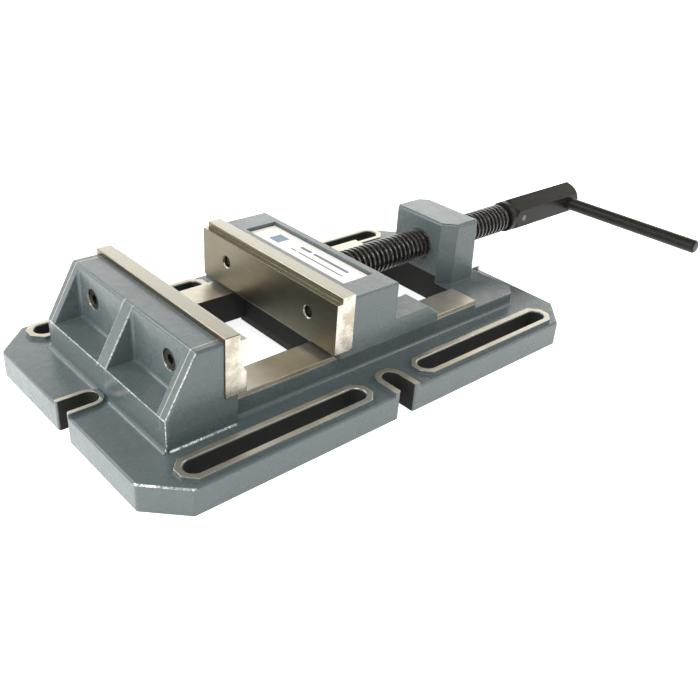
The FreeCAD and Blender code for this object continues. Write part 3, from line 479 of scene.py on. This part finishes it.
def build_screw():
    """Right-hand trapezoidal thread on its journal and shank, in one closed mesh."""
    low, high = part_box("lead_screw")
    mesh = bmesh.new()
    shoulder = THREAD_RADIUS - CREST_DROP * (THREAD_RADIUS - ROOT_RADIUS)
    corners = [
        (0.0, ROOT_RADIUS),
        (CREST_FROM * PITCH, shoulder),
        ((CREST_FROM + CREST_EASE) * PITCH, THREAD_RADIUS),
        ((CREST_TO - CREST_EASE) * PITCH, THREAD_RADIUS),
        (CREST_TO * PITCH, shoulder),
        (ROOT_FROM * PITCH, ROOT_RADIUS),
    ]
    turns = int((THREAD_END - THREAD_START) / PITCH) + 3
    columns = [(turn * PITCH + x, r) for turn in range(-1, turns) for x, r in corners]
    grid = []
    for step in range(THREAD_STEPS + 1):
        angle = 2.0 * math.pi * step / THREAD_STEPS
        row = []
        for u, r in columns:
            x = THREAD_START + u + PITCH * step / THREAD_STEPS
            x = max(THREAD_START, min(THREAD_END, x))
            radius = ROOT_RADIUS + (r - ROOT_RADIUS) * thread_height(x)
            place = (x, radius * math.cos(angle), SCREW_Z + radius * math.sin(angle))
            row.append(mesh.verts.new(place))
        grid.append(row)
    for step in range(THREAD_STEPS):
        for k in range(len(columns) - 1):
            mesh.faces.new((grid[step][k], grid[step][k + 1], grid[step + 1][k + 1], grid[step + 1][k]))
    round_profile(mesh, [
        (THREAD_START, ROOT_RADIUS), (THREAD_START, JOURNAL_RADIUS),
        (GROOVE_X[1], JOURNAL_RADIUS), (GROOVE_X[1], GROOVE_RADIUS),
        (GROOVE_X[0], GROOVE_RADIUS), (GROOVE_X[0], JOURNAL_RADIUS),
        (low.x + END_CHAMFER, JOURNAL_RADIUS), (low.x, JOURNAL_RADIUS - END_CHAMFER), (low.x, 0.0),
    ])
    round_profile(mesh, [
        (THREAD_END, ROOT_RADIUS), (SHANK_START, ROOT_RADIUS), (SHANK_START, SHANK_RADIUS),
        (high.x - END_CHAMFER, SHANK_RADIUS), (high.x, SHANK_RADIUS - END_CHAMFER), (high.x, 0.0),
    ])
    screw = finished(mesh, "lead_screw_threaded")
    screw.data.shade_smooth()
    screw.data.set_sharp_from_angle(angle=math.radians(SHARP_DEGREES))
    screw.data.materials.append(slots["oiled_black_steel"])
    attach(screw, "crank")
    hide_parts("lead_screw")


build_screw()


# ---------------------------------------------------------------- stage, light, camera

# Sky strength low down on the near and far sides and overhead, and the band between the two
LOW_SKY = (1.0, 2.8)
OVERHEAD = 0.4
HORIZON = (0.46, 0.60)
FAR_SIDE = (0.65, 0.76, 0.0)


def build_floor():
    """A plain pale plane just under the base."""
    mesh = bmesh.new()
    bmesh.ops.create_grid(mesh, x_segments=1, y_segments=1, size=6.0)
    data = bpy.data.meshes.new("floor")
    mesh.to_mesh(data)
    mesh.free()
    floor = bpy.data.objects.new("floor", data)
    bpy.context.scene.collection.objects.link(floor)
    floor.location.z = cad_box[0].z - 0.0002
    pale = bpy.data.materials.new("pale_floor")
    pale.use_nodes = True
    shader = pale.node_tree.nodes["Principled BSDF"]
    shader.inputs["Base Color"].default_value = colour(0.93, 0.93, 0.93)
    shader.inputs["Roughness"].default_value = 0.9
    shader.inputs["Emission Color"].default_value = colour(1.0, 1.0, 1.0)
    shader.inputs["Emission Strength"].default_value = 0.85
    floor.data.materials.append(pale)


def soft_light(name, place, aim, width, height, watts):
    """A rectangular softbox turned to the aim point."""
    data = bpy.data.lights.new(name, "AREA")
    data.shape = "RECTANGLE"
    data.size = width
    data.size_y = height
    data.energy = watts
    lamp = bpy.data.objects.new(name, data)
    bpy.context.scene.collection.objects.link(lamp)
    lamp.location = place
    lamp.rotation_mode = "QUATERNION"
    lamp.rotation_quaternion = (Vector(aim) - Vector(place)).to_track_quat("-Z", "Y")


def build_light():
    """White tent: bright low down, most of all behind the vise, and dimmer overhead."""
    centre = (cad_box[0] + cad_box[1]) / 2.0
    soft_light("right", (0.85, -0.60, 0.80), centre, 0.35, 0.35, 2.2)
    soft_light("left", (-0.55, 0.75, 0.85), centre, 0.5, 0.5, 5.0)
    soft_light("front", (-1.15, 0.05, 0.45), centre, 0.5, 0.4, 8.0)
    soft_light("above", (-0.40, -0.48, 1.15), centre, 0.35, 0.35, 7.0)
    world = bpy.data.worlds.new("studio")
    world.use_nodes = True
    tree = world.node_tree
    place = tree.nodes.new("ShaderNodeTexCoord").outputs["Generated"]
    height = add_node(tree, "SeparateXYZ", {0: place}).outputs[2]
    behind = add_node(tree, "VectorMath", {0: place, 1: FAR_SIDE}, operation="DOT_PRODUCT")
    low = add_node(tree, "MapRange", {
        "Value": behind.outputs["Value"],
        "From Min": -0.1,
        "From Max": 0.7,
        "To Min": LOW_SKY[0],
        "To Max": LOW_SKY[1],
    })
    share = add_node(tree, "MapRange", {"Value": height, "From Min": HORIZON[0], "From Max": HORIZON[1]})
    strength = add_node(tree, "Mix", {0: share.outputs[0], 2: low.outputs[0], 3: OVERHEAD}).outputs[0]
    back = tree.nodes["Background"]
    back.inputs["Color"].default_value = colour(1.0, 0.985, 0.945)
    tree.links.new(strength, back.inputs["Strength"])
    bpy.context.scene.world = world


def build_camera():
    """The photograph's standpoint: low from the fixed jaw's end, turned a little about its view."""
    place = Vector((-0.3564, -0.4195, 0.3227))
    aim = Vector((-0.0090, -0.0614, 0.0300))
    data = bpy.data.cameras.new("camera")
    data.sensor_width = 36.0
    data.lens = 43.76
    data.clip_start = 0.01
    camera = bpy.data.objects.new("camera", data)
    bpy.context.scene.collection.objects.link(camera)
    level = (aim - place).to_track_quat("-Z", "Y").to_matrix()
    roll = Matrix.Rotation(math.radians(4.50), 3, "Z")
    camera.matrix_world = Matrix.Translation(place) @ (level @ roll).to_4x4()
    bpy.context.scene.camera = camera


build_floor()
build_light()
build_camera()
bpy.context.scene.view_settings.view_transform = "Standard"
